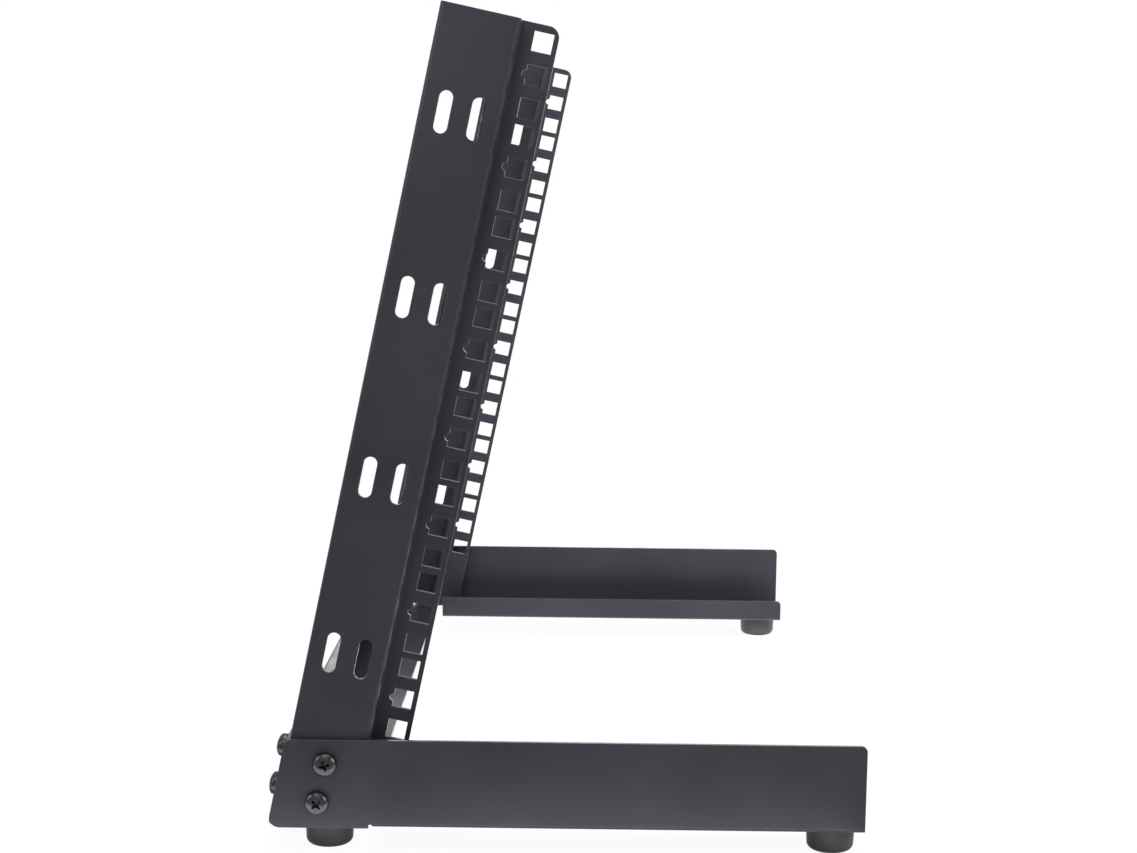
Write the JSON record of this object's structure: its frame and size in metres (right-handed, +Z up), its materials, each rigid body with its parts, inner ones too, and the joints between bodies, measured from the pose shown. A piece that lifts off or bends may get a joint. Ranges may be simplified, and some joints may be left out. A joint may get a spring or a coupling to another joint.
{
  "type": "desktop open equipment rack",
  "caption": "Free-standing two-post open frame rack of bent black sheet steel, posts leaning back over two long channel legs with rubber feet.",
  "frame": {"origin": "on the floor, midway between the sides and midway along the legs", "axes": "+X across the rack to the post nearer the camera of the reference view; -Y the front that equipment is fastened to; +Z up"},
  "size_m": [0.5258, 0.2976, 0.4144],
  "materials": {
    "powder_coat": "satin black powder coat, fine grain",
    "black_screw": "black plated, semi-gloss",
    "rubber": "matt black moulded rubber",
    "plated_steel": "bright zinc plate"
  },
  "bodies": {
    "root": {"right_post": "powder_coat", "left_post": "powder_coat", "right_leg": "powder_coat", "left_leg": "powder_coat", "cross_panel": "powder_coat", "right_upper_side_screw": "black_screw", "left_upper_side_screw": "black_screw", "right_upper_front_screw": "black_screw", "left_upper_front_screw": "black_screw", "right_lower_side_screw": "black_screw", "left_lower_side_screw": "black_screw", "right_lower_front_screw": "black_screw", "left_lower_front_screw": "black_screw", "front_right_foot": "rubber", "front_right_foot_screw": "plated_steel", "front_right_foot_nut": "plated_steel", "front_left_foot": "rubber", "front_left_foot_screw": "plated_steel", "front_left_foot_nut": "plated_steel", "rear_right_foot": "rubber", "rear_right_foot_screw": "plated_steel", "rear_right_foot_nut": "plated_steel", "rear_left_foot": "rubber", "rear_left_foot_screw": "plated_steel", "rear_left_foot_nut": "plated_steel"}
  },
  "joints": []
}
